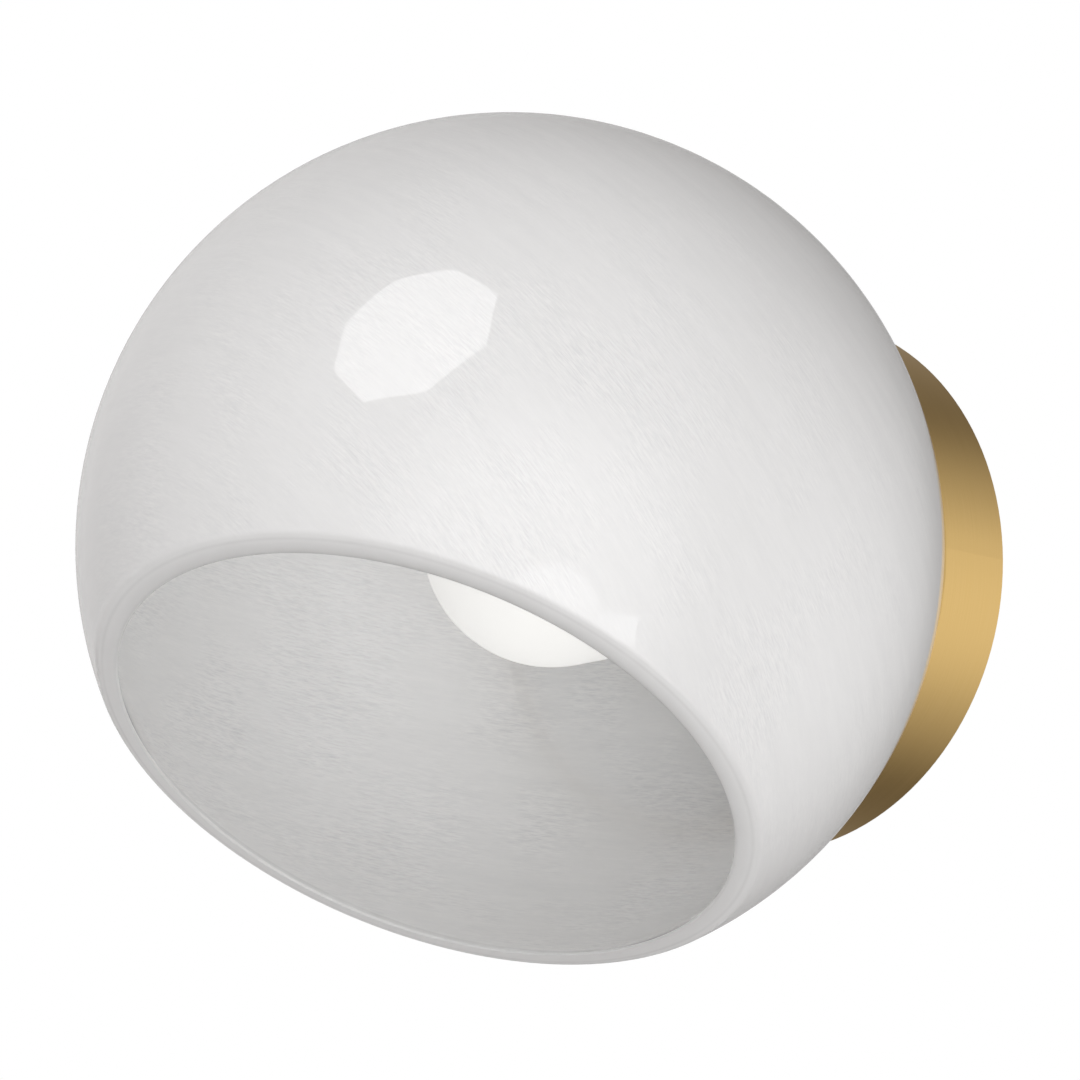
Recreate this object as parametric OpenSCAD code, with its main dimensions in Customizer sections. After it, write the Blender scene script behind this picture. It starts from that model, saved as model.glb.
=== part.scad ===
// Globe wall light: a cased glass globe with a slanted mouth, clamped on a threaded lamp
// holder in front of a round drawn-brass canopy. Millimetres, +Z up, the wall is the plane
// y = 0 and the room lies towards -Y. The origin is on the wall, on the canopy's axis.

/* [Glass globe] */
// Outer radius of the globe
globe_r = 100; // [92:1:108]
// Thickness of the glass
glass_t = 4; // [3:0.5:5]
// Slant of the mouth: how far its axis points below the room-ward axis, degrees
mouth_tilt = 58.7; // [50:0.1:64]
// Distance from the globe's centre to the plane of the mouth
mouth_out = 60.8; // [54:0.2:66]
// Rounding radius of each corner of the lip
lip_r = 1.5; // [0.8:0.1:1.9]
// Distance from the globe's centre to its flat ground back
back_flat = 80.3; // [78:0.1:83]
// Rounding radius where the flat back turns into the globe
back_round = 10; // [6:0.5:12]
// Radius of the hole in the flat back
hole_r = 21.5; // [19:0.5:22]

/* [Canopy] */
// Outer radius of the canopy
canopy_r = 63.5; // [63:0.5:70]
// How far the canopy stands out from the wall
canopy_depth = 25; // [25:0.5:32]
// Thickness of the drawn brass
canopy_wall = 1.2; // [1:0.1:1.5]
// Rounding radius of the canopy's front edge
canopy_round = 2.5; // [2:0.5:5]

/* [Glass seat] */
// Radius of the gasket between the canopy and the glass
gasket_r = 50; // [44:1:52]
// Thickness of the gasket
gasket_t = 1; // [0.5:0.1:1.5]
// Thickness of the washer under the shade ring
washer_t = 1; // [0.6:0.1:1.4]
// Outer radius of the shade ring
ring_r = 28.5; // [28:0.5:34]
// Height of the shade ring along the barrel
ring_h = 5; // [4:0.5:6]
// Number of finger notches round the shade ring
ring_notches = 24; // [12:2:36]

/* [Lamp holder] */
// Radius of the threaded barrel, over the thread
barrel_r = 17; // [16.6:0.1:18]
// How far the barrel stands out from the canopy's face
barrel_len = 15; // [14:0.5:20]
// Depth and pitch of the barrel's thread
barrel_thread = 0.7; // [0.4:0.1:1]
ring_pitch = 3; // [2:0.5:4]
// Radius of the flange behind the canopy's face
flange_r = 24; // [22:0.5:26]
// Thickness of that flange
flange_t = 3; // [2:0.5:4]
// Radius of the holder behind the flange
rear_r = 19; // [18.5:0.5:21]
// Length of the holder behind the canopy's face
rear_len = 17.5; // [16.5:0.5:17.5]
// Thickness of the holder's floor
floor_t = 4; // [3.5:0.1:4.5]

/* [Bulb] */
// Radius of the bulb at its widest
bulb_r = 30; // [26:0.5:32]
// Length of the bulb from its foot contact to its tip
bulb_len = 108.7; // [104:0.1:112]
// Radius of the bulb's screw base, over the thread
base_r = 13.1; // [12.9:0.05:13.2]
// Pitch of the bulb's thread
base_pitch = 3.629; // [3.4:0.001:3.8]
// Distance from the foot contact to the seam between the collar and the envelope
seam_rise = 52; // [48:1:56]
// Radius of the bulb at that seam
seam_r = 24.5; // [22:0.5:25]

/* [Strap and bracket] */
// Width of the mounting strap
strap_w = 22; // [18:1:26]
// Thickness of the mounting strap
strap_t = 1.8; // [1.4:0.1:2]
// Distance between the two box screws
box_spacing = 88.9; // [84:0.1:92]
// Width of the slots for the box screws
slot_w = 5.2; // [4.5:0.1:6]
// Length of those slots from end to end
slot_len = 11; // [8:0.5:13]
// Width of the holder's bracket
bracket_w = 16; // [12:1:20]
// Thickness of the holder's bracket
bracket_t = 1.2; // [1:0.1:1.4]
// Distance from the axis to the outside of the bracket's legs
bracket_reach = 31; // [29:0.5:34]

/* [Wiring] */
// Radius of the insulated leads
lead_r = 1.1; // [0.8:0.1:1.3]
// Largest radius of a twist-on connector
nut_r = 5.3; // [4.5:0.1:5.8]
// Length of a twist-on connector
nut_len = 22; // [18:1:24]
// Distance from the axis to the two lead connectors
nut_x = 46; // [44:0.5:50]

/* [Hidden] */
$fn = 96;
eps = 0.01;

// Clearances: two still pieces, a running fit, a screw in its thread, a screw in a loose hole,
// a hole that a barrel passes
part_gap = 0.1;
run_gap = 0.1;
screw_gap = 0.05;
loose_gap = 0.3;
pass_gap = 0.5;
// The glass hangs with its hole's rim this far above the barrel
hang_gap = 0.3;

// Stations along the axis, as distances out from the wall
face_back = canopy_depth - canopy_wall;
holder_foot = face_back - rear_len;
floor_h = holder_foot + floor_t;
flange_h = face_back - flange_t;
barrel_end = canopy_depth + barrel_len;
glass_back = canopy_depth + gasket_t;
glass_in = glass_back + glass_t;
washer_end = glass_in + washer_t;
ring_end = washer_end + ring_h;
globe_h = glass_back + back_flat;

// The hole in the glass is wider than the barrel, so the globe hangs this much lower
globe_drop = hole_r - barrel_r - hang_gap;

// Screw shell and bore of the holder
shell_t = 0.4;
shell_in_r = base_r + run_gap;
shell_out_r = shell_in_r + shell_t;
bore_r = shell_out_r + part_gap;
shell_lift = 3;
shell_foot = floor_h + shell_lift;
shell_end = barrel_end - 2.5;
bore_mouth_r = bore_r + 1.3;
edge_cut = 0.5;

// Shade ring: a hub round the barrel stands above the rim with its finger notches
hub_w = 3.2;
hub_rise = 1.2;
notch_r = 1.6;

// The gasket's hole is this much wider than the hole in the glass
gasket_inset = 5.5;

// Centre contact: a strip on the floor with a raised pad
strip_t = 0.6;
pad_rise = 0.8;
pad_r = 3;
contact_top = floor_h + strip_t + pad_rise;
strip_w = 5;

// Terminals: flats on the holder, plates on the flats, a screw in each plate
flat_y = rear_r - 1;
plate_t = 0.8;
plate_w = 8;
plate_y = flat_y + plate_t;
term_h = floor_h + 5.7;
term_shank_r = 1.75;
term_depth = flat_y - bore_r - 1;
term_head_r = 3.4;
term_head_t = 1.8;
lead_y = plate_y + part_gap + lead_r;
term_head_y = lead_y + lead_r + part_gap;

// Bulb stations, from its foot contact
foot_h = contact_top + part_gap;
foot_t = 1.5;
foot_r = 4.6;
foot_ball_r = 12;
insul_h = foot_h + foot_t;
insul_t = 3.7;
insul_r = 11;
base_h = insul_h + insul_t;
base_len = 20.5;
base_end = base_h + base_len;
base_thread = 0.7;
base_wall = 0.5;
spigot_r = base_r - base_thread - base_wall - part_gap;
spigot_wall = 1.2;
spigot_in_r = spigot_r - spigot_wall;
neck_r = base_r + 0.2;
neck_end = max(base_end + 1, barrel_end + 0.4);
seam_h = foot_h + seam_rise;
tip_h = foot_h + bulb_len;
bulb_h = tip_h - bulb_r;
bulb_wall = 1.5;

// The envelope's cone runs from the seam to where it touches the ball
seam_dx = seam_r;
seam_dh = seam_h - bulb_h;
seam_dist = sqrt(seam_dx * seam_dx + seam_dh * seam_dh);
touch_angle = atan2(seam_dh, seam_dx) + acos(bulb_r / seam_dist);
touch_h = bulb_h + bulb_r * sin(touch_angle);
cone_slope = (bulb_r * cos(touch_angle) - seam_r) / (touch_h - seam_h);
wall_across = bulb_wall / cos(touch_angle);
lip_rise = 2;
ledge_drop = 2;
ledge_t = 2;
ledge_w = 3.6;
ledge_in_r = seam_r - bulb_wall - ledge_w;
board_t = 1.6;
board_h = seam_h - ledge_drop;
board_r = cone_x(board_h) - wall_across - part_gap;

// Collar, and what it holds: the board with its ring of chips, the driver board with its parts
spigot_len = 12;
collar_wall = bulb_wall + 0.6;
collar_steps = 12;
neck_flare = 4;
cone_lead = 10;
chips = 9;
chip_w = 2.8;
chip_t = 0.8;
chip_ring_r = board_r - 8.5;
driver_gap = 0.6;
driver_lift = 2;
parts_h = base_end + 8;
coil_r = 3;
coil_t = 6;
choke_w = 5;
choke_t = 4;

// Mounting strap: ears just inside the canopy's wall, screws through them
canopy_in_r = canopy_r - canopy_wall;
inner_round = 0.3;
shoulder_drop = 8;
ear_w = 14;
ear_rise = 16;
ear_y = sqrt(canopy_in_r * canopy_in_r - ear_w * ear_w / 4) - part_gap;
bend_r = 1.5;
side_screw_h = 11.5;
side_screw_r = 2;
side_head_r = 3.8;
side_head_t = 2.8;
centre_hole_r = 5;
ground_y = 30;
ground_screw_r = 2;
ground_head_r = 4;
ground_head_t = 2.6;
lug_t = 0.8;
lug_r = 3.6;
riser_x = 6.4;
ground_nut_h = 10;
ground_nut_x = 15;
ground_bend = 3.5;

// Bracket: bridge under the holder's floor, legs, feet welded to the canopy's face
bridge_h = holder_foot - bracket_t;
foot_len = 10;
fix_x = 9;
fix_r = 1.5;
fix_head_r = 2.8;
fix_head_t = 2;
fix_depth = floor_t - 0.8;

// Leads and connectors
lead_bend = 8;
nut_mouth_y = 11;
nut_bore = 9;
nut_bore_r = lead_r + 0.3;
nut_skirt = 4;
nut_step = 0.4;
nut_tip_r = nut_r - 2;
nut_tip_len = 2;
wing_t = 1.6;
wing_rise = 1.2;
wing_len = nut_len - 9;
lead_in = nut_bore - 1;

// Puts things in the frame of the wall: local z is the distance out from the wall,
// local x stays x and local y is up
module out(drop = 0) {
    translate([0, 0, -drop]) rotate([90, 0, 0]) children();
}

// Ring or tube between two radii, standing on height h
module tube(r_out, r_in, h, len) {
    translate([0, 0, h]) difference() {
        cylinder(r = r_out, h = len);
        translate([0, 0, -eps]) cylinder(r = r_in, h = len + 2 * eps);
    }
}

// Disc or plug on height h
module plug(r, h, len) {
    translate([0, 0, h]) cylinder(r = r, h = len);
}

// Pan head on height h, rounded over by a ball
module pan_head(r, len) {
    ball_r = (r * r + len * len) / (2 * len);
    intersection() {
        translate([0, 0, len - ball_r]) sphere(r = ball_r);
        cylinder(r = r, h = len);
    }
}

// Screw along +z from its head's underside: head above, shank below, one slot
module screw(head_r, head_t, shank_r, shank_len) {
    slot_t = min(1.2, head_t / 2);
    difference() {
        union() {
            pan_head(head_r, head_t);
            translate([0, 0, -shank_len]) cylinder(r = shank_r, h = shank_len + eps);
        }
        translate([-head_r, -slot_t / 2, head_t - slot_t]) cube([2 * head_r, slot_t, slot_t + 1]);
    }
}

// Outline of a canopy-like cup, from its axis
module cup_outline(r, h, round_r) {
    square([r - round_r, h]);
    square([r, h - round_r]);
    translate([r - round_r, h - round_r]) circle(r = round_r);
}

// Half outline of a ball with a flat back and a rounded corner between them
module ball_outline(r, flat, round_r) {
    corner_h = flat - round_r;
    corner_x = sqrt((r - round_r) * (r - round_r) - corner_h * corner_h);
    cut_h = corner_h * r / (r - round_r);
    intersection() {
        circle(r = r, $fn = 180);
        translate([0, -cut_h]) square([r + 1, r + 1 + cut_h]);
    }
    translate([0, -flat]) square([corner_x, round_r]);
    translate([corner_x, -corner_h]) circle(r = round_r);
}

// Everything on the globe's side of the mouth, with both corners of the lip rounded
module lip_outline() {
    in_r = globe_r - glass_t;
    mid = mouth_out - lip_r;
    x_out = sqrt((globe_r - lip_r) * (globe_r - lip_r) - mid * mid);
    x_in = sqrt((in_r + lip_r) * (in_r + lip_r) - mid * mid);
    y_out = mid * globe_r / (globe_r - lip_r);
    y_in = mid * in_r / (in_r + lip_r);
    far = 2 * globe_r;
    translate([0, -far]) square([far, far + y_in]);
    translate([x_out, 0]) square([far - x_out, y_out]);
    translate([x_in, 0]) square([x_out - x_in, mouth_out]);
    translate([x_out, mid]) circle(r = lip_r);
    translate([x_in, mid]) circle(r = lip_r);
}

module glass_globe() {
    color("white")
    out(globe_drop) translate([0, 0, globe_h]) intersection() {
        difference() {
            rotate_extrude() ball_outline(globe_r, back_flat, back_round);
            rotate_extrude()
                ball_outline(globe_r - glass_t, back_flat - glass_t, back_round - glass_t);
            translate([0, 0, -globe_r]) cylinder(r = hole_r, h = globe_r);
        }
        rotate([mouth_tilt, 0, 0]) rotate_extrude() lip_outline();
    }
}

module canopy() {
    color("goldenrod")
    out() difference() {
        rotate_extrude() difference() {
            cup_outline(canopy_r, canopy_depth, canopy_round);
            translate([0, -eps]) cup_outline(canopy_in_r, face_back + eps,
                                             max(canopy_round - canopy_wall, inner_round));
        }
        plug(barrel_r + pass_gap, face_back - 1, canopy_wall + 2);
        for (side = [-1, 1])
            translate([0, 0, side_screw_h]) rotate([-90 * side, 0, 0])
                translate([0, 0, ear_y]) cylinder(r = side_screw_r + loose_gap, h = 6);
    }
}

// Quarter of a bend in a strip, in the plane of its section
module bend(r_in, t) {
    intersection() {
        difference() {
            circle(r = r_in + t);
            circle(r = r_in);
        }
        square(r_in + t);
    }
}

// Half section of a strip that runs flat to its reach and then turns up into an ear
module eared_half(reach, t, rise) {
    turn = bend_r + t;
    square([reach - turn, t]);
    translate([reach - turn, turn]) rotate(-90) bend(bend_r, t);
    translate([reach - t, turn]) square([t, rise - turn]);
}

module slot(spacing_len, w, h) {
    half = (spacing_len - w) / 2;
    for (side = [-1, 1]) translate([0, side * half, -1]) cylinder(r = w / 2, h = h + 2);
    translate([-w / 2, -half, -1]) cube([w, 2 * half, h + 2]);
}

module crossbar() {
    shoulder_y = ear_y - shoulder_drop;
    taper = (strap_w - ear_w) / 2;
    color("silver")
    out() difference() {
        union() {
            rotate([90, 0, 90]) translate([0, 0, -ear_w / 2]) linear_extrude(ear_w) {
                eared_half(ear_y, strap_t, ear_rise);
                mirror([1, 0]) eared_half(ear_y, strap_t, ear_rise);
            }
            linear_extrude(strap_t) for (side = [0, 180]) rotate(side) polygon([
                [-strap_w / 2, 0], [strap_w / 2, 0], [strap_w / 2, shoulder_y - taper],
                [ear_w / 2, shoulder_y], [-ear_w / 2, shoulder_y],
                [-strap_w / 2, shoulder_y - taper]]);
        }
        for (side = [-1, 1]) translate([0, side * box_spacing / 2, 0])
            slot(slot_len, slot_w, strap_t);
        plug(centre_hole_r, -1, strap_t + 2);
        plug_at(0, ground_y, ground_screw_r + screw_gap, -1, strap_t + 2);
        for (side = [-1, 1]) translate([0, 0, side_screw_h]) rotate([-90 * side, 0, 0])
            translate([0, 0, ear_y - strap_t - 1])
                cylinder(r = side_screw_r + screw_gap, h = strap_t + 2);
    }
}

module plug_at(x, y, r, h, len) {
    translate([x, y, h]) cylinder(r = r, h = len);
}

module canopy_screws() {
    reach = canopy_r + part_gap - ear_y + strap_t + 1;
    color("goldenrod")
    out() for (side = [-1, 1])
        translate([0, 0, side_screw_h]) rotate([-90 * side, 0, 0])
            translate([0, 0, canopy_r + part_gap])
                screw(side_head_r, side_head_t, side_screw_r, reach);
}

module ground_screw() {
    color("green")
    out() translate([0, ground_y, strap_t + lug_t])
        screw(ground_head_r, ground_head_t, ground_screw_r, strap_t + lug_t);
}

module ground_wire() {
    color("peru")
    out() translate([0, ground_y, 0]) {
        difference() {
            union() {
                plug(lug_r, strap_t, lug_t);
                translate([-riser_x - lead_r, -lead_r, strap_t]) cube([riser_x, 2 * lead_r, lug_t]);
            }
            plug(ground_screw_r + screw_gap, strap_t - 1, lug_t + 2);
        }
        riser_top = ground_nut_h - ground_bend;
        plug_at(-riser_x, 0, lead_r, strap_t + lug_t, riser_top - strap_t - lug_t);
        translate([-riser_x - ground_bend, 0, riser_top]) rotate([90, 0, 0])
            rotate_extrude(angle = 90) translate([ground_bend, 0]) circle(r = lead_r);
        translate([-riser_x - ground_bend, 0, ground_nut_h]) rotate([0, -90, 0])
            cylinder(r = lead_r, h = ground_nut_x - riser_x - ground_bend + lead_in);
    }
}

// Twist-on connector, its mouth at the origin and its body towards +z
module connector() {
    cone_len = nut_len - nut_skirt - nut_tip_len;
    difference() {
        union() {
            cylinder(r = nut_r, h = nut_skirt);
            translate([0, 0, nut_skirt]) cylinder(r1 = nut_r - nut_step, r2 = nut_tip_r, h = cone_len);
            translate([0, 0, nut_len - nut_tip_len])
                cylinder(r1 = nut_tip_r, r2 = nut_tip_r - 1, h = nut_tip_len);
            for (side = [0, 180]) rotate([0, 0, side]) translate([-wing_t / 2, 0, 0])
                cube([wing_t, nut_r + wing_rise, wing_len]);
        }
        translate([0, 0, -1]) cylinder(r = nut_bore_r, h = nut_bore + 1);
    }
}

module wire_connectors() {
    color("orange")
    out() {
        translate([nut_x, nut_mouth_y, term_h]) rotate([90, 0, 0]) connector();
        translate([-nut_x, -nut_mouth_y, term_h]) rotate([-90, 0, 0]) connector();
        translate([-ground_nut_x, ground_y, ground_nut_h]) rotate([0, -90, 0]) connector();
    }
}

// Lead from the upper terminal to the right-hand connector
module lead() {
    start_x = term_shank_r + part_gap;
    turn_x = nut_x - lead_bend;
    turn_y = lead_y - lead_bend;
    translate([0, 0, term_h]) {
        translate([start_x, lead_y, 0]) rotate([0, 90, 0])
            cylinder(r = lead_r, h = turn_x - start_x);
        translate([turn_x, turn_y, 0]) rotate_extrude(angle = 90)
            translate([lead_bend, 0]) circle(r = lead_r);
        translate([nut_x, turn_y, 0]) rotate([90, 0, 0])
            cylinder(r = lead_r, h = turn_y - nut_mouth_y + lead_in);
    }
}

module hot_lead() {
    color("dimgray") out() lead();
}

module neutral_lead() {
    color("white") out() rotate([0, 0, 180]) lead();
}

module terminal_screw() {
    translate([0, term_head_y, term_h]) rotate([-90, 0, 0])
        screw(term_head_r, term_head_t, term_shank_r, term_head_y - flat_y + term_depth - part_gap);
}

module terminal_screw_hot() {
    color("gold") out() terminal_screw();
}

module terminal_screw_neutral() {
    color("silver") out() rotate([0, 0, 180]) terminal_screw();
}

module bracket_half() {
    turn = bend_r + bracket_t;
    rise = face_back - bridge_h;
    eared_half(bracket_reach, bracket_t, rise - turn);
    translate([bracket_reach + bend_r, rise - turn]) rotate(90) bend(bend_r, bracket_t);
    translate([bracket_reach + bend_r, rise - bracket_t]) square([foot_len, bracket_t]);
}

module socket_bracket() {
    color("silver")
    out() difference() {
        translate([0, bracket_w / 2, bridge_h]) rotate([90, 0, 0]) linear_extrude(bracket_w) {
            bracket_half();
            mirror([1, 0]) bracket_half();
        }
        for (side = [-1, 1])
            plug_at(side * fix_x, 0, fix_r + screw_gap, bridge_h - 1, bracket_t + 2);
    }
}

module bracket_screws() {
    color("silver")
    out() for (side = [-1, 1]) translate([side * fix_x, 0, bridge_h]) rotate([180, 0, 0])
        screw(fix_head_r, fix_head_t, fix_r, bracket_t + fix_depth - part_gap);
}

// Half outline of the lamp holder, with the thread drawn as ridges
module holder_outline() {
    thread_h = canopy_depth + 1.5;
    ridges = floor((barrel_end - 1.5 - thread_h) / ring_pitch);
    thread = [for (i = [0 : ridges - 1], p = [[0, 0], [1, 0.2], [1, 0.4], [0, 0.6]])
        [barrel_r - barrel_thread * p[0], thread_h + (i + p[1]) * ring_pitch]];
    polygon(concat(
        [[0, holder_foot], [rear_r - 1, holder_foot], [rear_r, holder_foot + 1],
         [rear_r, flange_h], [flange_r, flange_h], [flange_r, face_back], [barrel_r, face_back]],
        thread,
        [[barrel_r, barrel_end - edge_cut], [barrel_r - edge_cut, barrel_end],
         [bore_mouth_r + edge_cut, barrel_end], [bore_mouth_r, barrel_end - edge_cut],
         [bore_mouth_r, shell_end], [bore_r, shell_end], [bore_r, floor_h], [0, floor_h]]));
}

module socket_body() {
    color("whitesmoke")
    out() difference() {
        rotate_extrude() holder_outline();
        for (side = [-1, 1]) rotate([0, 0, side > 0 ? 0 : 180]) {
            translate([-rear_r, flat_y, holder_foot - 1])
                cube([2 * rear_r, rear_r, flange_h - holder_foot + 1]);
            translate([0, flat_y - term_depth, term_h]) rotate([-90, 0, 0])
                cylinder(r = term_shank_r + screw_gap, h = term_depth + 1);
        }
        translate([-strip_w / 2 - part_gap, 0, floor_h])
            cube([strip_w + 2 * part_gap, rear_r, strip_t + part_gap]);
        translate([-strip_w / 2 - part_gap, -rear_r, shell_foot - part_gap])
            cube([strip_w + 2 * part_gap, rear_r, strip_t + 2 * part_gap]);
        for (side = [-1, 1])
            plug_at(side * fix_x, 0, fix_r + screw_gap, holder_foot - 1, fix_depth + 1);
    }
}

module socket_shell() {
    color("gold")
    out() difference() {
        union() {
            plug(shell_out_r, shell_foot, shell_end - shell_foot);
            translate([-strip_w / 2, -plate_y, shell_foot]) cube([strip_w, plate_y, strip_t]);
            translate([-plate_w / 2, -plate_y, shell_foot])
                cube([plate_w, plate_t, flange_h - part_gap - shell_foot]);
        }
        plug(shell_in_r, shell_foot - 1, shell_end - shell_foot + 2);
        translate([0, 0, term_h]) rotate([90, 0, 0])
            cylinder(r = term_shank_r + screw_gap, h = plate_y + 1);
    }
}

module socket_contact() {
    color("gold")
    out() difference() {
        union() {
            plug(strip_w, floor_h, strip_t);
            plug(pad_r, floor_h, strip_t + pad_rise);
            translate([-strip_w / 2, 0, floor_h]) cube([strip_w, plate_y, strip_t]);
            translate([-plate_w / 2, flat_y, floor_h])
                cube([plate_w, plate_t, flange_h - part_gap - floor_h]);
        }
        translate([0, flat_y - 1, term_h]) rotate([-90, 0, 0])
            cylinder(r = term_shank_r + screw_gap, h = plate_t + 2);
    }
}

module seat_gasket() {
    color("dimgray") out() tube(gasket_r, hole_r + gasket_inset, canopy_depth, gasket_t);
}

module ring_washer() {
    color("linen") out() tube(ring_r - 1, barrel_r + run_gap, glass_in, washer_t);
}

module shade_ring() {
    rim_h = ring_end - hub_rise;
    in_r = barrel_r + run_gap;
    color("whitesmoke")
    out() difference() {
        rotate_extrude() polygon([
            [in_r, washer_end], [ring_r, washer_end], [ring_r, rim_h - 1], [ring_r - 1, rim_h],
            [in_r + hub_w + hub_rise, rim_h], [in_r + hub_w, ring_end], [in_r, ring_end]]);
        for (i = [0 : ring_notches - 1]) rotate([0, 0, i * 360 / ring_notches])
            plug_at(ring_r + notch_r / 2, 0, notch_r, washer_end - 1, ring_h + 2);
    }
}

// Radius of the bulb's cone at a height, on its outside
function cone_x(h) = seam_r + cone_slope * (h - seam_h);

// Point of a cubic curve
function curve(a, b, c, d, t) =
    a * pow(1 - t, 3) + b * 3 * t * pow(1 - t, 2) + c * 3 * t * t * (1 - t) + d * pow(t, 3);

// Outside of the collar from its neck to the seam, moved inwards by a wall: it flares out
// of the neck almost at once and meets the seam along the envelope's cone
function collar_side(wall) =
    let (a = [neck_r, neck_end], d = [seam_r, seam_h],
         b = [neck_r + neck_flare, neck_end + 1],
         c = [cone_x(seam_h - cone_lead), seam_h - cone_lead])
    [for (i = [0 : collar_steps]) curve(a, b, c, d, i / collar_steps) - [wall, 0]];

// Half outline of a bulb's head: a cone from a foot to where it touches the ball, then the ball.
// The ball reaches a hair into the cone, so that no skin is left between them.
module head_outline(r, foot_r, foot_h) {
    top_h = bulb_h + r * sin(touch_angle);
    polygon([[0, foot_h], [foot_r, foot_h], [r * cos(touch_angle), top_h], [0, top_h]]);
    translate([0, bulb_h]) intersection() {
        circle(r = r);
        translate([0, r * sin(touch_angle) - eps]) square([r, 2 * r]);
    }
}

module bulb_envelope() {
    foot = seam_h - 1;
    color("white")
    out() rotate_extrude() difference() {
        head_outline(bulb_r, seam_r, seam_h);
        head_outline(bulb_r - bulb_wall, cone_x(foot) - wall_across, foot);
    }
}

module bulb_collar() {
    lip_out = seam_r - wall_across - part_gap;
    lip_in = lip_out - spigot_wall;
    cavity_top = board_h - ledge_t;
    spigot_h = base_end - spigot_len;
    cavity = [for (p = collar_side(collar_wall)) if (p[1] < cavity_top - 1) p];
    color("white")
    out() rotate_extrude() polygon(concat(
        [[spigot_in_r, spigot_h], [spigot_r, spigot_h], [spigot_r, base_end],
         [neck_r, base_end]],
        collar_side(0),
        [[lip_out, seam_h], [lip_out, seam_h + lip_rise], [lip_in, seam_h + lip_rise],
         [board_r + part_gap, board_h + board_t], [board_r + part_gap, board_h],
         [ledge_in_r, board_h], [ledge_in_r, cavity_top]],
        [for (i = [len(cavity) - 1 : -1 : 0]) cavity[i]],
        [[spigot_in_r, neck_end]]));
}

module bulb_led_board() {
    color("white")
    out() {
        plug(board_r, board_h, board_t);
        for (i = [0 : chips - 1]) rotate([0, 0, i * 360 / chips])
            translate([chip_ring_r - chip_w / 2, -chip_w / 2, board_h + board_t - eps])
                cube([chip_w, chip_w, chip_t]);
    }
}

module bulb_driver_board() {
    half = spigot_in_r - driver_gap;
    foot = base_h + driver_lift;
    color("seagreen")
    out() {
        translate([-half, -board_t / 2, foot]) cube([2 * half, board_t, board_h - 1 - foot]);
        translate([0, board_t / 2 - eps, parts_h]) rotate([-90, 0, 0]) {
            translate([-half / 2, 0, 0]) cylinder(r = coil_r, h = coil_t);
            translate([half / 2 - choke_w / 2, -choke_w / 2, 0])
                cube([choke_w, choke_w, choke_t]);
        }
    }
}

module bulb_base_shell() {
    ridges = floor((base_len - 3) / base_pitch);
    ridge_h = base_h + 1.5;
    thread = [for (i = [0 : ridges - 1], p = [[1, 0], [0, 0.35], [0, 0.65], [1, 1]])
        [base_r - base_thread * p[0], ridge_h + (i + p[1]) * base_pitch]];
    in_r = base_r - base_thread - base_wall;
    color("silver")
    out() rotate_extrude() polygon(concat(
        [[in_r, base_h], [base_r - base_thread - 0.3, base_h],
         [base_r - base_thread, base_h + 0.3]],
        thread,
        [[base_r - base_thread, base_end - 0.8], [base_r, base_end - 0.8],
         [base_r, base_end], [in_r, base_end]]));
}

module bulb_base_insulator() {
    seat_r = base_r - base_thread - base_wall;
    color("black")
    out() {
        translate([0, 0, insul_h]) cylinder(r1 = foot_r + 1, r2 = insul_r, h = insul_t);
        plug(seat_r - part_gap, base_h, 1 - part_gap);
    }
}

module bulb_foot_contact() {
    color("silver")
    out() intersection() {
        plug(foot_r, foot_h, foot_t);
        translate([0, 0, foot_h + foot_ball_r]) sphere(r = foot_ball_r);
    }
}

canopy();
crossbar();
canopy_screws();
ground_screw();
ground_wire();
wire_connectors();
socket_bracket();
bracket_screws();
socket_body();
socket_shell();
socket_contact();
terminal_screw_hot();
terminal_screw_neutral();
hot_lead();
neutral_lead();
seat_gasket();
glass_globe();
ring_washer();
shade_ring();
bulb_envelope();
bulb_collar();
bulb_led_board();
bulb_driver_board();
bulb_base_shell();
bulb_base_insulator();
bulb_foot_contact();
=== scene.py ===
# %% [markdown]
# # A globe wall light in cased glass and satin brass
# A wall light of this kind is a glass globe with a slanted mouth, clamped on a lamp holder in
# front of a small round canopy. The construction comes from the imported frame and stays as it
# is. What is left for Blender is the look: how the glass is cased and streaked, how the brass
# is drawn and lacquered, and how soft studio light falls on both.

import math

import bpy
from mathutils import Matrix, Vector


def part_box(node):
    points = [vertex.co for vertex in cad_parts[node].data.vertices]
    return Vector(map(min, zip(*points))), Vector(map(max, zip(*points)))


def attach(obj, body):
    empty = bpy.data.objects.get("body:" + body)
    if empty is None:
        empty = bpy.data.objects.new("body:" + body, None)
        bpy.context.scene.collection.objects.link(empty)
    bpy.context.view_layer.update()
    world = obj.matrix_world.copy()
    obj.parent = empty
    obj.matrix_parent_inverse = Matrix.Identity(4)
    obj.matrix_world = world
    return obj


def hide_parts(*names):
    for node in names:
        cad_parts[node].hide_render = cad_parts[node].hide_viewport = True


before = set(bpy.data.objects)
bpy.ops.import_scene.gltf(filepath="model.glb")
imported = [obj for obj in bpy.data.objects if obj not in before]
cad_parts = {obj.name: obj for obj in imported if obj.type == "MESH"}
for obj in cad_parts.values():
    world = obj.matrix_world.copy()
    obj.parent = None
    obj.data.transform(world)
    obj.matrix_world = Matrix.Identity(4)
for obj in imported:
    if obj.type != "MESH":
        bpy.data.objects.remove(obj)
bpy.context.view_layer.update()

# %% [markdown]
# Lengths are easier to compare with the real thing in millimetres, and colours are easier to
# judge as the hex values that a picture editor shows. Blender wants metres and linear light,
# so two small functions turn one into the other.

# %% Millimetres and colours
MM = 0.001


def linear(hex_colour):
    """The linear red, green, blue and alpha of an sRGB colour such as "d9a441"."""
    channels = [int(hex_colour[i:i + 2], 16) / 255 for i in (0, 2, 4)]
    return [c / 12.92 if c <= 0.04045 else ((c + 0.055) / 1.055) ** 2.4 for c in channels] + [1.0]


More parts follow.
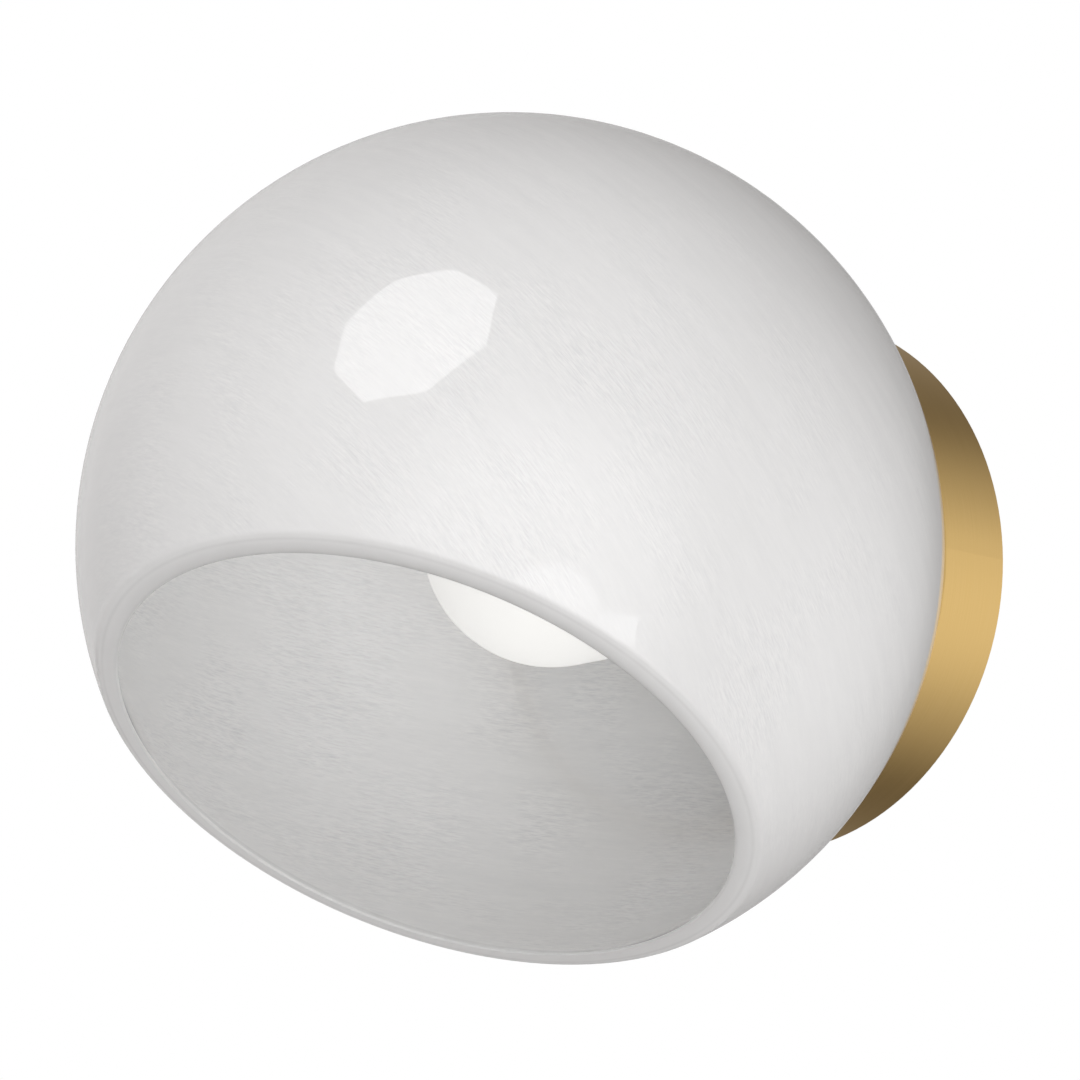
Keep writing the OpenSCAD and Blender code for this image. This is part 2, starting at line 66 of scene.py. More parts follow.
print("middle grey in linear light:", round(linear("777777")[0], 3))

# %% [markdown]
# Every finish below is a small network of nodes. One function adds a node, sets what is fixed
# about it, and either fills or links each of its inputs, so that a network reads as a list of
# steps from the pattern to the surface.

# %% Add a node
def put(tree, kind, inputs=None, **settings):
    """Adds a node. An input that is given as another node's output is linked to it."""
    node = tree.nodes.new(kind)
    for name, value in settings.items():
        setattr(node, name, value)
    for name, value in (inputs or {}).items():
        if isinstance(value, bpy.types.NodeSocket):
            tree.links.new(value, node.inputs[name])
        else:
            node.inputs[name].default_value = value
    return node


def new_finish(name, **constants):
    """A material with one Principled shader, whose unchanging values sit on its own sockets."""
    material = bpy.data.materials.new(name)
    material.use_nodes = True
    shader = material.node_tree.nodes["Principled BSDF"]
    for socket, value in constants.items():
        shader.inputs[socket.replace("_", " ")].default_value = value
    return material, material.node_tree, shader


print("ready to mix finishes")

# %% [markdown]
# ## The camera
# The light is seen from its right, a little from below, through a long lens: the globe's
# outline is almost a true circle. The camera looks at a point beside the globe's centre, so
# that the globe falls where the photograph has it.

# %% Place the camera
glass_low, glass_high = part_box("glass_globe")
GLOBE_R = (glass_high.x - glass_low.x) / 2
ROOMWARD = Vector((0, -1, 0))
DOWN = Vector((0, 0, -1))
globe_centre = Vector((0, glass_low.y + GLOBE_R, glass_high.z - GLOBE_R))
view_azimuth = math.radians(37.4)
view_elevation = math.radians(-9.08)
view_distance = 3.0
lens_mm = 434.65
sensor_mm = 36
frame_px = 1080
globe_at_px = (510.14, 546.82)

toward_eye = Vector((math.sin(view_azimuth) * math.cos(view_elevation),
                     -math.cos(view_azimuth) * math.cos(view_elevation),
                     math.sin(view_elevation)))
eye_right = Vector((math.cos(view_azimuth), math.sin(view_azimuth), 0))
eye_up = toward_eye.cross(eye_right)
metres_per_px = view_distance * sensor_mm / lens_mm / frame_px
off_right = (frame_px / 2 - globe_at_px[0]) * metres_per_px
off_down = (frame_px / 2 - globe_at_px[1]) * metres_per_px

camera = bpy.data.objects.new("camera", bpy.data.cameras.new("camera"))
camera.data.lens = lens_mm
camera.data.sensor_width = sensor_mm
camera.data.clip_end = 50
camera.location = (globe_centre + toward_eye * view_distance
                   + eye_right * off_right - eye_up * off_down)
camera.rotation_euler = toward_eye.to_track_quat("Z", "Y").to_euler()
bpy.context.scene.collection.objects.link(camera)
bpy.context.scene.camera = camera
print("camera at", [round(v, 3) for v in camera.location])

# %% [markdown]
# ## The studio
# White glass is only read through its shading, so the studio matters as much as the glass.
# The room could be built from lamps, but each would mirror as a hard spot. A sky of soft lobes
# is smoother: each is a direction, how far round it the light begins, and how strong it gets.
# Light comes mostly from the camera's side, and a strip at the far right gives the brass its
# bright band.

# %% Soft light from all round
scene = bpy.context.scene
scene.view_settings.view_transform = "Standard"
world = bpy.data.worlds.new("studio")
scene.world = world
world.use_nodes = True
sky = world.node_tree
sky.nodes.clear()


def seen_from_eye(right, up, toward):
    """A direction given as the camera sees it, in the frame of the wall."""
    return (eye_right * right + eye_up * up + toward_eye * toward).normalized()


lobes = {
    "front": (seen_from_eye(0.10, -0.10, 0.98), 0.60, 1.52),
    "low_front": (seen_from_eye(0.10, -0.60, 0.80), 0.80, 0.95),
    "top": (seen_from_eye(-0.20, 0.97, 0.05), 0.40, 0.20),
    "left_behind": (seen_from_eye(-0.70, 0.0, -0.70), 0.50, 0.50),
    "behind": (seen_from_eye(0.0, 0.0, -1.0), 0.50, 0.22),
    "right": (seen_from_eye(0.96, -0.12, -0.23), 0.62, 0.62),
    "right_strip": (seen_from_eye(0.96, -0.12, -0.23), 0.88, 0.30),
}
direction = put(sky, "ShaderNodeTexCoord").outputs["Generated"]
light = 0.0
for name, (toward, start, strength) in lobes.items():
    facing = put(sky, "ShaderNodeVectorMath", {0: direction, 1: toward}, operation="DOT_PRODUCT")
    lobe = put(sky, "ShaderNodeMapRange",
               {"Value": facing.outputs["Value"], "From Min": start, "To Max": strength},
               interpolation_type="SMOOTHSTEP", label=name)
    light = put(sky, "ShaderNodeMath", {0: lobe.outputs["Result"], 1: light}).outputs[0]
print("studio sky with lobes:", ", ".join(lobes))

# %% [markdown]
# Under the lobes lies the faint warm glow of the room's walls. A camera ray that leaves the
# object sees plain white. Glossy and transmitted rays see that white too where the backdrop
# stands, which is straight behind the object.

# %% White backdrop
room_glow = (0.115, 0.105, 0.100)
backdrop_edge = (math.cos(math.radians(3.5)), math.cos(math.radians(2.5)))

rays = put(sky, "ShaderNodeLightPath").outputs
behind = put(sky, "ShaderNodeVectorMath", {0: direction, 1: -toward_eye},
             operation="DOT_PRODUCT")
backdrop = put(sky, "ShaderNodeMapRange",
               {"Value": behind.outputs["Value"], "From Min": backdrop_edge[0],
                "From Max": backdrop_edge[1]}, interpolation_type="SMOOTHSTEP")
mirrored = put(sky, "ShaderNodeMath",
               {0: rays["Is Glossy Ray"], 1: rays["Is Transmission Ray"]})
mirrored_white = put(sky, "ShaderNodeMath",
                     {0: mirrored.outputs[0], 1: backdrop.outputs["Result"]},
                     operation="MULTIPLY")
white_share = put(sky, "ShaderNodeMath",
                  {0: rays["Is Camera Ray"], 1: mirrored_white.outputs[0]},
                  use_clamp=True)
warmed = put(sky, "ShaderNodeVectorMath", {0: light, 1: room_glow}).outputs[0]
colour = put(sky, "ShaderNodeMix",
             {"Factor": white_share.outputs[0], "A": warmed, "B": (1, 1, 1, 1)},
             data_type="RGBA")
sky_light = put(sky, "ShaderNodeBackground", {"Color": colour.outputs["Result"]})
put(sky, "ShaderNodeOutputWorld", {"Surface": sky_light.outputs["Background"]})
print("walls glow at", room_glow)

# %% [markdown]
# Two sharp-edged highlights lie on the glass: softboxes, mirrored by its clear outer layer.
# The first is a plain octagon high on the left. The second is just under the camera, a second
# octagon with a smaller square box beside it. Each is a flat emitting sheet with the outline
# of its frame. The camera doesn't see it, but the glass does.

# %% Softboxes
softbox_distance = 1.2
softbox_strength = 3.1


def softbox(name, toward, facing, radius, sides, roll):
    """A flat light with a regular outline, centred in a direction from the globe's centre."""
    centre = globe_centre + toward.normalized() * softbox_distance
    normal = facing.normalized()
    across = normal.cross(Vector((0, 0, 1))).normalized()
    upright = across.cross(normal)
    corners = []
    for i in range(sides):
        turn = math.radians(roll) + i * math.tau / sides
        corners.append(centre + radius * (across * math.cos(turn) + upright * math.sin(turn)))
    mesh = bpy.data.meshes.new(name)
    mesh.from_pydata(corners, [], [range(sides)])
    sheet = bpy.data.objects.new(name, mesh)
    scene.collection.objects.link(sheet)
    sheet.visible_camera = False
    cloth = bpy.data.materials.new(name)
    cloth.use_nodes = True
    tree = cloth.node_tree
    tree.nodes.clear()
    side = put(tree, "ShaderNodeNewGeometry").outputs["Backfacing"]
    one_side = put(tree, "ShaderNodeMath", {0: side, 1: -softbox_strength, 2: softbox_strength},
                   operation="MULTIPLY_ADD")
    glow = put(tree, "ShaderNodeEmission", {"Strength": one_side.outputs[0]})
    put(tree, "ShaderNodeOutputMaterial", {"Surface": glow.outputs[0]})
    mesh.materials.append(cloth)
    return sheet


high_box = softbox("softbox_high", seen_from_eye(-0.39, 0.82, 0.42),
                   seen_from_eye(-0.06, 0.58, 0.81), 0.43, 8, 28.0)
low_box = softbox("softbox_low", seen_from_eye(0.17, -0.29, 0.94),
                  seen_from_eye(0.17, -0.29, 0.94), 0.28, 8, 22.5)
side_box = softbox("softbox_side", seen_from_eye(0.43, -0.37, 0.82),
                   seen_from_eye(0.43, -0.37, 0.82), 0.16, 4, 45.0)
print("softboxes:", high_box.name, low_box.name, side_box.name)

# %% [markdown]
# The floor lies well below the light, out of the picture, as a pale round sheet. It catches
# the object's soft shadow and doesn't shade the object from the light below.

# %% Lay the floor
floor_drop = 0.75
floor_radius = 3.0
floor_sides = 96
floor_mesh = bpy.data.meshes.new("floor")
floor_mesh.from_pydata(
    [(floor_radius * math.cos(i * math.tau / floor_sides),
      floor_radius * math.sin(i * math.tau / floor_sides), -floor_drop)
     for i in range(floor_sides)], [], [range(floor_sides)])
floor = bpy.data.objects.new("floor", floor_mesh)
scene.collection.objects.link(floor)
floor.visible_diffuse = floor.visible_glossy = False
floor.visible_transmission = floor.visible_shadow = False
print("floor", floor_drop, "m below the light's axis")

# %% [markdown]
# Matt wall paint that is rolled on has soft clouds a few centimetres wide. Towards its edge the
# sheet fades into the white surroundings, so that no horizon shows, and it is clear when it is
# seen from underneath.

# %% Matt rolled floor paint
paint_cloud = 1 / 30.0
fade_start, fade_end = 0.2, 1.6
fade_least = 0.5

floor_paint, tree, shader = new_finish("floor_paint_rolled_matt", Roughness=0.9)
place = put(tree, "ShaderNodeTexCoord").outputs["Object"]
flat_place = put(tree, "ShaderNodeVectorMath", {0: place, 1: (1, 1, 0)}, operation="MULTIPLY")
reach = put(tree, "ShaderNodeVectorMath", {0: flat_place.outputs[0]}, operation="LENGTH")
paint_grain = put(tree, "ShaderNodeTexNoise",
                  {"Vector": place, "Scale": 1 / paint_cloud, "Detail": 4.0})
paint_tone = put(tree, "ShaderNodeMix",
                 {"Factor": paint_grain.outputs["Fac"], "A": linear("e9e9e7"),
                  "B": linear("edecea")}, data_type="RGBA")
tree.links.new(paint_tone.outputs["Result"], shader.inputs["Base Color"])
fade = put(tree, "ShaderNodeMapRange",
           {"Value": reach.outputs["Value"], "From Min": fade_start, "From Max": fade_end,
            "To Min": fade_least},
           interpolation_type="SMOOTHSTEP")
white = put(tree, "ShaderNodeEmission", {"Color": (1, 1, 1, 1), "Strength": 1.0})
rays = put(tree, "ShaderNodeLightPath").outputs
seen_white = put(tree, "ShaderNodeMath", {0: fade.outputs["Result"], 1: rays["Is Camera Ray"]},
                 operation="MULTIPLY")
faded = put(tree, "ShaderNodeMixShader",
            {0: seen_white.outputs[0], 1: shader.outputs[0], 2: white.outputs[0]})
clear = put(tree, "ShaderNodeBsdfTransparent")
side = put(tree, "ShaderNodeNewGeometry")
seen_below = put(tree, "ShaderNodeMath",
                 {0: side.outputs["Backfacing"], 1: rays["Is Camera Ray"]},
                 operation="MULTIPLY")
sheet = put(tree, "ShaderNodeMixShader",
            {0: seen_below.outputs[0], 1: faded.outputs[0], 2: clear.outputs[0]})
tree.links.new(sheet.outputs[0], tree.nodes["Material Output"].inputs["Surface"])
floor_mesh.materials.append(floor_paint)
print("floor paint fades from", fade_start, "to", fade_end, "m")

# %% [markdown]
# ## The glass
# The globe is blown from two layers. A white layer gathers fine streaks as it is turned on
# the pipe, and a thin clear layer over it gives the hard shine. A true glass body with
# scattering inside would be slow and noisy, so the white layer is a surface that lets light
# spread a few millimetres through its 4 mm wall, and the clear layer is the shader's coat,
# with the index of refraction of ordinary glass.

# %% Cased opal glass, mouth-blown
GLASS_T = 4 * MM
MOUTH_LEAN = math.radians(58.7)
MOUTH_OUT = 61.6 * MM
mouth_axis = ROOMWARD * math.cos(MOUTH_LEAN) + DOWN * math.sin(MOUTH_LEAN)

opal_glass, tree, shader = new_finish(
    "cased_opal_glass_mouth_blown",
    Roughness=0.45, Specular_IOR_Level=0.0, Subsurface_Weight=1.0, Subsurface_Scale=8 * MM,
    Subsurface_Radius=(1.0, 1.0, 1.0), Coat_Weight=1.0, Coat_Roughness=0.01, Coat_IOR=1.5)
place = put(tree, "ShaderNodeTexCoord").outputs["Object"]
from_centre = put(tree, "ShaderNodeVectorMath", {0: place, 1: globe_centre},
                  operation="SUBTRACT").outputs[0]
from_middle = put(tree, "ShaderNodeVectorMath", {0: from_centre},
                  operation="LENGTH").outputs["Value"]
outside = put(tree, "ShaderNodeMath", {0: from_middle, 1: GLOBE_R - GLASS_T / 2},
              operation="GREATER_THAN").outputs[0]
print("the glass wall is", round(GLASS_T / MM, 1), "mm thick")

# %% [markdown]
# A pattern in glass is a sum of small steps: a value is spread from one range over another,
# multiplied, or measured along a direction. Four helpers keep these steps readable.

# %% Steps of a pattern
def between(value, low, high, out_low=0.0, out_high=1.0):
    """A value of the pattern, spread from one range over another."""
    return put(tree, "ShaderNodeMapRange",
               {"Value": value, "From Min": low, "From Max": high,
                "To Min": out_low, "To Max": out_high}).outputs["Result"]


def times(a, b):
    """Product of two values of the pattern."""
    return put(tree, "ShaderNodeMath", {0: a, 1: b}, operation="MULTIPLY").outputs[0]


def dot(direction):
    """Distance from the globe's centre along a direction."""
    return put(tree, "ShaderNodeVectorMath", {0: from_centre, 1: direction},
               operation="DOT_PRODUCT").outputs["Value"]


def swing(value, amount):
    """A noise's swing to both sides of its middle, times an amount."""
    return times(put(tree, "ShaderNodeMath", {0: value, 1: 0.5}, operation="SUBTRACT").outputs[0],
                 amount)


print("ready to pattern the glass")

# %% [markdown]
# The streaks are small uneven spots of the white glass, drawn out while it was soft and turned,
# so they run round an axis. The skin outside and the skin inside have axes of their own. Noise
# is squeezed along the axis to make them. The finest real ones are too fine to show, so the
# finest here are as coarse as a quarter of a millimetre.

# %% Streaks of a real size
outer_axis = Vector((0.40, 0.71, 0.58)).normalized()
inner_axis = Vector((0.11, 0.09, 0.99)).normalized()
streak_long_mm, streak_wide_mm = 5.0, 0.5
wisp_long_mm, wisp_wide_mm = 45.0, 5.0

axis = put(tree, "ShaderNodeMix", {"Factor": outside, "A": inner_axis, "B": outer_axis},
           data_type="VECTOR").outputs["Result"]
along_axis = put(tree, "ShaderNodeVectorMath", {0: from_centre, 1: axis},
                 operation="DOT_PRODUCT").outputs["Value"]


def drawn_out(long_mm, wide_mm):
    """Noise that is drawn out round the turning axis into streaks of a real size."""
    squeeze = times(along_axis, long_mm / wide_mm - 1.0)
    extra = put(tree, "ShaderNodeVectorMath", {0: axis, "Scale": squeeze}, operation="SCALE")
    drawn = put(tree, "ShaderNodeVectorMath", {0: from_centre, 1: extra.outputs[0]})
    return put(tree, "ShaderNodeTexNoise",
               {"Vector": drawn.outputs[0], "Scale": 1 / (long_mm * MM), "Detail": 3.0,
                "Roughness": 0.6}).outputs["Fac"]


fibres = swing(drawn_out(streak_long_mm, streak_wide_mm), 0.6)
threads = swing(drawn_out(streak_long_mm / 2, streak_wide_mm / 2), 0.45)
wisps = swing(drawn_out(wisp_long_mm, wisp_wide_mm), 0.4)
fine = put(tree, "ShaderNodeMath", {0: fibres, 1: threads}).outputs[0]
print("glass streaks are", streak_long_mm, "mm long and", streak_wide_mm, "mm wide")

# %% [markdown]
# The fine streaks crowd together in clouds, and the side of the globe that faces the room
# shows most of them. They end just before the lip, where the fire smoothed the glass.

# %% Crowd the streaks and tint the glass
cloud_mm = 24.0
room_side = seen_from_eye(-0.05, -0.10, 1.0)
inner_cover = 1.3
haze = 0.16

clusters = put(tree, "ShaderNodeTexNoise",
               {"Vector": from_centre, "Scale": 1 / (cloud_mm * MM), "Detail": 2.0}).outputs["Fac"]
near_front = between(dot(room_side), 0.35 * GLOBE_R, 0.85 * GLOBE_R, 0.25, 1.0)
covered = put(tree, "ShaderNodeMix", {"Factor": outside, "A": inner_cover, "B": near_front})
dense = times(between(clusters, 0.60, 0.36, 0.2, 1.6), covered.outputs["Result"])
streaks = put(tree, "ShaderNodeMath", {0: fine, 1: dense, 2: wisps}, operation="MULTIPLY_ADD")
off_lip = between(dot(mouth_axis), MOUTH_OUT - 1 * MM, MOUTH_OUT - 3 * MM)
streaked = put(tree, "ShaderNodeMath", {0: streaks.outputs[0], 1: off_lip, 2: haze},
               operation="MULTIPLY_ADD", use_clamp=True)
glass_tone = put(tree, "ShaderNodeMix",
                 {"Factor": streaked.outputs[0], "A": linear("fdfdfc"), "B": linear("cfd0d4")},
                 data_type="RGBA")
print("streaks crowd in clouds of", cloud_mm, "mm")

# %% [markdown]
# At the lip the layers are cut through and show as two thin grey lines: the inner skin, and
# the seam under the clear casing. Close to the canopy the glass's colour is darkened a little,
# a painted shade for the light that gets into it less there.

# %% Casing lines and the painted shade at the back
seam_depth = 1.1 * MM
seam_half = 0.4 * MM
skin_from, skin_to = 0.4 * MM, 1.0 * MM
back_from, back_to = 64 * MM, 76 * MM

on_lip = between(dot(mouth_axis), MOUTH_OUT - 2.6 * MM, MOUTH_OUT - 2.0 * MM)
casing_in = between(from_middle, GLOBE_R - GLASS_T + skin_from,
                    GLOBE_R - GLASS_T + skin_to, 0.16, 0.0)
seam = GLOBE_R - seam_depth
casing_out = times(between(from_middle, seam - seam_half, seam),
                   between(from_middle, seam + seam_half, seam, 0.0, 0.1))
casing = put(tree, "ShaderNodeMath", {0: casing_in, 1: casing_out})
lip_shade = put(tree, "ShaderNodeMath", {0: times(casing.outputs[0], on_lip), 1: -1.0, 2: 1.0},
                operation="MULTIPLY_ADD").outputs[0]
# Painted shade: the glass's colour is darkened towards its flat back, next to the canopy, where
# less light gets in.
painted_back_shade = between(dot(-ROOMWARD), back_from, back_to, 1.0, 0.94)
shaded = put(tree, "ShaderNodeVectorMath",
             {0: glass_tone.outputs["Result"], "Scale": times(painted_back_shade, lip_shade)},
             operation="SCALE")
tree.links.new(shaded.outputs[0], shader.inputs["Base Color"])
print("the seam of the casing lies", round(seam_depth / MM, 1), "mm deep")

# %% [markdown]
# Blown glass is never a true ball. Its skin rises and falls by a few thousandths of a
# millimetre over the width of a thumb, which bends the edges of what it mirrors.

# %% Ripple of the skin
ripple_wide_mm = 18
ripple_high_mm = 0.008

skin = put(tree, "ShaderNodeTexNoise",
           {"Vector": from_centre, "Scale": 1 / (ripple_wide_mm * MM), "Detail": 1.0})
ripple = put(tree, "ShaderNodeBump",
             {"Height": skin.outputs["Fac"], "Strength": 1.0, "Distance": ripple_high_mm * MM})
tree.links.new(ripple.outputs[0], shader.inputs["Coat Normal"])
print("the skin ripples by", ripple_high_mm, "mm")

# %% [markdown]
# The globe isn't a plain ball. Its back is ground flat with a soft corner, where it sits on
# the canopy, and its mouth is a slanted cut with a fire-polished lip. All of it can be laid
# out in rings: rings round the wall's axis at the back, rings round the mouth's axis at the
# lip, and between them a fan of leaning rings, which all pass through one line outside the
# ball and so never cross. That gives an even mesh with no seams, poles or booleans.

# %% Rings of the globe
ring_points = 192
wall_rings = 72


def leaning_ring(lean, along, radius):
    """Points of a ring round an axis that leans down from the room-ward axis."""
    axis = ROOMWARD * math.cos(lean) + DOWN * math.sin(lean)
    side = Vector((1, 0, 0))
    centre = globe_centre + axis * along
    lift = axis.cross(side)
    return [centre + radius * (side * math.cos(turn) + lift * math.sin(turn))
            for turn in (i * math.tau / ring_points for i in range(ring_points))]


def arc(centre_r, centre_h, radius, start, end, steps):
    """Radius and height of points on an arc, with its ends in degrees."""
    turns = [math.radians(start + (end - start) * i / steps) for i in range(steps + 1)]
    return [(centre_r + radius * math.cos(a), centre_h + radius * math.sin(a)) for a in turns]


def fan_of_rings(radius, back_along, lip_along):
    """Rings on a ball from its flat back to its slanted lip, without the two end rings."""
    line_down = (lip_along - back_along * math.cos(MOUTH_LEAN)) / math.sin(MOUTH_LEAN)
    rings = []
    for i in range(1, wall_rings):
        lean = MOUTH_LEAN * i / wall_rings
        along = back_along * math.cos(lean) + line_down * math.sin(lean)
        rings.append(leaning_ring(lean, along, math.sqrt(radius ** 2 - along ** 2)))
    return rings


def ring_mesh(name, rings, closed):
    """A smooth mesh through rings of points. A closed one joins its last ring to its first."""
    count = len(rings[0])
    faces = []
    for row in range(len(rings) if closed else len(rings) - 1):
        below = (row + 1) % len(rings)
        for i in range(count):
            j = (i + 1) % count
            faces.append((row * count + i, row * count + j, below * count + j, below * count + i))
    mesh = bpy.data.meshes.new(name)
    mesh.from_pydata([point for ring in rings for point in ring], [], faces)
    mesh.shade_smooth()
    return mesh


print("a ring has", ring_points, "points")

# %% [markdown]
# The lip is cut a little slanting and then melted round: softly outside, and with a small
# radius inside. Both roundings touch the same slanted face, so the outer one is found from the
# inner one. Radius and height of each are measured from the mouth's axis.

# %% Round the lip
LIP_R = 2.0 * MM
LIP_IN_R = 0.4 * MM
LIP_TILT = 16
round_steps = 12

inner_r = GLOBE_R - GLASS_T
lip_in_h = MOUTH_OUT - LIP_IN_R
lip_in_r = math.sqrt((inner_r + LIP_IN_R) ** 2 - lip_in_h ** 2)
tilt = math.radians(LIP_TILT)
face_h = lip_in_r * math.sin(tilt) + lip_in_h * math.cos(tilt) + LIP_IN_R
out_turn = math.pi / 2 - tilt - math.acos((face_h - LIP_R) / (GLOBE_R - LIP_R))
lip_out_h = (GLOBE_R - LIP_R) * math.sin(out_turn)
lip_out_r = (GLOBE_R - LIP_R) * math.cos(out_turn)
lip_out_turn = math.degrees(math.atan2(lip_out_h, lip_out_r))
lip_in_turn = 180 + math.degrees(math.atan2(lip_in_h, lip_in_r))
lip = (arc(lip_out_r, lip_out_h, LIP_R, lip_out_turn, 90 - LIP_TILT, round_steps)
       + arc(lip_in_r, lip_in_h, LIP_IN_R, 90 - LIP_TILT, lip_in_turn, round_steps))
print("the lip is rounded in", len(lip), "rings")

# %% [markdown]
# The back has a round hole for the lamp holder, with its sharp arris taken off, then a flat
# seat, then the soft corner. The inside follows it at the thickness of the glass.

# %% Grind the back and blow the globe
BACK_FLAT = 80.3 * MM
BACK_ROUND = 10 * MM
HOLE_R = 21.5 * MM
ARRIS = 0.4 * MM
RIM = 1 * MM
corner_steps = 8
seat_shares = (0.3, 0.6, 0.95)

corner_h = BACK_FLAT - BACK_ROUND
corner_r = math.sqrt((GLOBE_R - BACK_ROUND) ** 2 - corner_h ** 2)
corner_turn = math.degrees(math.atan2(-corner_h, corner_r))


def seat_rings(height, arris):
    """Radius and height of the flat seat from the edge of its hole to its corner."""
    return ([(HOLE_R, height + arris), (HOLE_R + ARRIS, height), (HOLE_R + RIM, height)]
            + [(HOLE_R + (corner_r - HOLE_R) * share, height) for share in seat_shares])


back_outside = (seat_rings(-BACK_FLAT, ARRIS)
                + arc(corner_r, -corner_h, BACK_ROUND, -90, corner_turn, corner_steps))
back_inside = (arc(corner_r, -corner_h, BACK_ROUND - GLASS_T, corner_turn, -90, corner_steps)
               + list(reversed(seat_rings(GLASS_T - BACK_FLAT, -ARRIS))))
rings = ([leaning_ring(0, h, r) for r, h in back_outside]
         + fan_of_rings(GLOBE_R, back_outside[-1][1], lip[0][1])
         + [leaning_ring(MOUTH_LEAN, h, r) for r, h in lip]
         + list(reversed(fan_of_rings(inner_r, back_inside[0][1], lip[-1][1])))
         + [leaning_ring(0, h, r) for r, h in back_inside])
globe_mesh = ring_mesh("globe", rings, closed=True)
globe_mesh.flip_normals()
globe_mesh.materials.append(opal_glass)
globe = bpy.data.objects.new("blown_globe", globe_mesh)
scene.collection.objects.link(globe)
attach(globe, "shade")
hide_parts("glass_globe")
print("globe:", len(rings), "rings of", ring_points, "points")

# %% [markdown]
# ## Threads and flutes
# Two small pieces lose their character as plain solids. A bulb's base is sheet metal with a
# rolled thread, which climbs as a helix, and a twist-on connector has a fluted skirt and two
# wings for the fingers. Both are rings again, whose radius also depends on the angle.

# %% Roll the thread of the bulb's base
base_low, base_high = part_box("bulb_base_shell")
BASE_R = (base_high.x - base_low.x) / 2
THREAD_DEEP = 0.7 * MM
THREAD_PITCH = 3.629 * MM
SHEET = 0.5 * MM
base_foot = -base_high.y
base_end = -base_low.y
base_rows = 72


def thread_wave(height, turn):
    """Share of the thread's depth at a height and an angle, fading out at both ends."""
    fade = min(1.0, (height - base_foot) / (2 * MM), (base_end - height) / (2 * MM))
    return fade * (1 - math.cos(math.tau * height / THREAD_PITCH - turn)) / 2


def base_ring(row, inwards):
    """One ring of the base's sheet, on its outside or moved inwards."""
    height = base_foot + (base_end - base_foot) * row / base_rows
    points = []
    for turn in (i * math.tau / ring_points for i in range(ring_points)):
        radius = BASE_R - THREAD_DEEP * (1 - thread_wave(height, turn)) - inwards
        points.append(Vector((radius * math.cos(turn), -height, radius * math.sin(turn))))
    return points


base_rings = ([base_ring(row, 0.0) for row in range(base_rows + 1)]
              + [base_ring(row, SHEET) for row in range(base_rows, -1, -1)])
rolled_base = bpy.data.objects.new("rolled_base", ring_mesh("base", base_rings, closed=True))
scene.collection.objects.link(rolled_base)
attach(rolled_base, "bulb")
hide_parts("bulb_base_shell")
print("thread of the base climbs", round((base_end - base_foot) / THREAD_PITCH, 1), "turns")

# %% [markdown]
# A connector is drawn as an outline of radius and height in millimetres, from the bore for the
# wires to the closed tip. Each of the three has its own place and direction in the canopy. The
# flutes and wings could be separate solids, but moving the ring's points keeps one clean skin.

# %% Mould the twist-on connectors
SKIRT_R = 3 * MM
WING_RISE = 1.2 * MM
WING_LEN = 13 * MM
FLUTE_DEEP = 0.3 * MM
flutes = 20
nut_points = 160
nut_places = [
    (Vector((46, -16, 11)) * MM, Vector((0, 0, -1)), Vector((0, 1, 0))),
    (Vector((-46, -16, -11)) * MM, Vector((0, 0, 1)), Vector((0, 1, 0))),
    (Vector((-15, -10, 30)) * MM, Vector((-1, 0, 0)), Vector((0, 0, 1))),
]
nut_outline = [(1.4, 9.0), (1.4, 0.0), (4.6, 0.0), (5.1, 0.3), (5.3, 0.8), (5.3, 3.6), (5.2, 4.0),
               (4.9, 4.2), (4.5, 8.0), (4.1, 12.0), (3.9, 14.0), (3.6, 17.0), (3.3, 20.0),
               (2.9, 21.2), (2.2, 21.8), (1.2, 22.0), (0.1, 22.0)]


def nut_ring(place, body, wing, radius, height):
    """One ring of a connector: flutes all round, and a wing on each side near the mouth."""
    across = body.cross(wing)
    outer = SKIRT_R < radius
    points = []
    for turn in (i * math.tau / nut_points for i in range(nut_points)):
        out = radius
        if outer:
            out -= FLUTE_DEEP * (1 - math.cos(flutes * turn)) / 2
            near_wing = max(0.0, abs(math.cos(turn)) - 0.975) / 0.025
            rise = WING_RISE * min(1.0, (WING_LEN - height) / (3 * MM))
            out = max(out, radius + max(0.0, rise) * min(1.0, 3 * near_wing))
        points.append(place + body * height
                      + out * (wing * math.cos(turn) + across * math.sin(turn)))
    return points


connectors = []
for count, (place, body, wing) in enumerate(nut_places):
    nut_rings = [nut_ring(place, body, wing, r * MM, h * MM) for r, h in nut_outline]
    nut = bpy.data.objects.new(f"fluted_connector_{count + 1}",
                               ring_mesh(f"nut_{count + 1}", nut_rings, closed=False))
    scene.collection.objects.link(nut)
    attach(nut, "fixture")
    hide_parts("wire_connectors")
    connectors.append(nut)
print("connectors:", ", ".join(nut.name for nut in connectors))

# %% [markdown]
# ## The other finishes
# Most of the small parts are moulded, drawn or pressed, and each of these leaves a grain: a
# fine irregularity that shows in the tone, the shine and the relief at once. One function
# makes them all. What differs is the size of the grain, the way it is drawn out, and whether
# the material is a metal.

